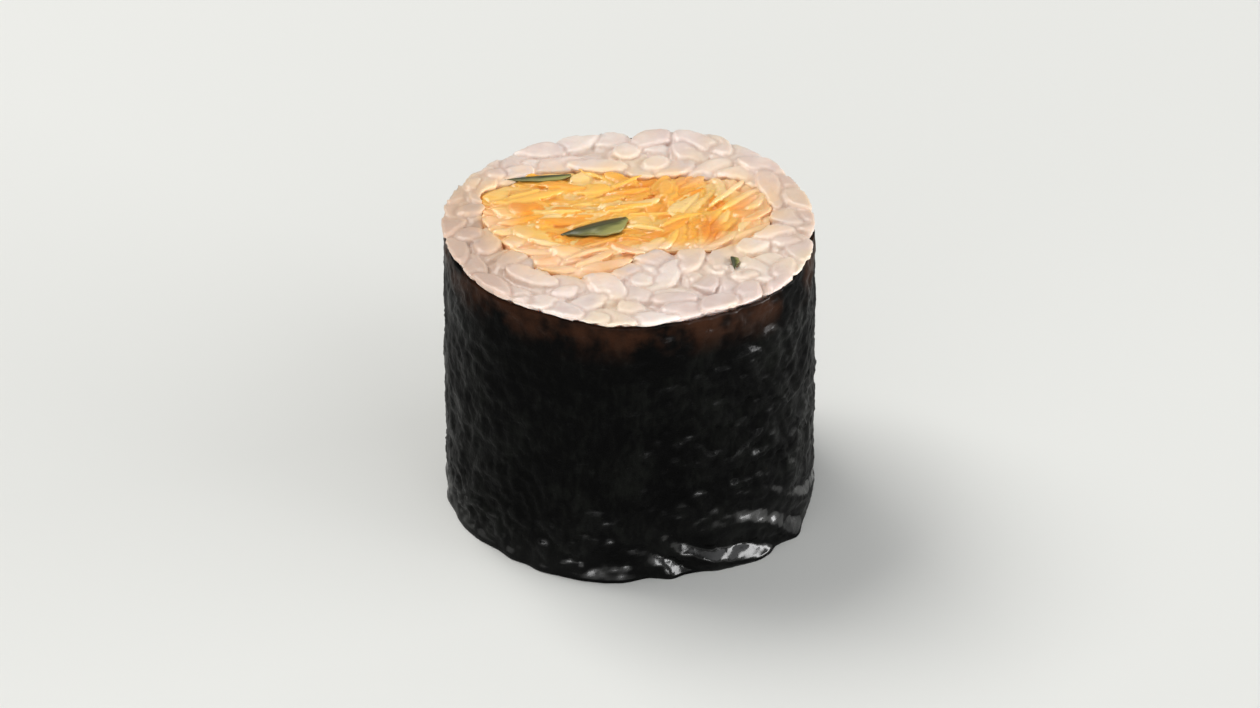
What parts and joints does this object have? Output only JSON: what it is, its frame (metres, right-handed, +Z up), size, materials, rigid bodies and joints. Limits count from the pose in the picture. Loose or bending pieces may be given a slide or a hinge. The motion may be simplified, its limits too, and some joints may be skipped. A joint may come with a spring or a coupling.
{
  "type": "hosomaki",
  "caption": "Thin sushi roll piece: nori sheet wrapped round rice and an orange chopped fish filling with chives, standing on its cut face.",
  "frame": {"origin": "middle of the lower cut face, which the piece stands on", "axes": "+Z up along the roll, +X along the long axis of its oval section, -Y towards the front"},
  "size_m": [0.0294, 0.0275, 0.0252],
  "materials": {
    "nori": "moist roasted seaweed, nearly black, satin",
    "rice": "cooked short-grain rice, translucent white, moist",
    "filling": "chopped fish in an orange sauce, wet",
    "chive": "dark green chive, slightly wet"
  },
  "bodies": {
    "root": {"nori_wrap": "nori", "rice": "rice", "filling": "filling", "chive_leaf": "chive", "chive_strip": "chive", "chive_fleck": "chive"}
  },
  "joints": []
}
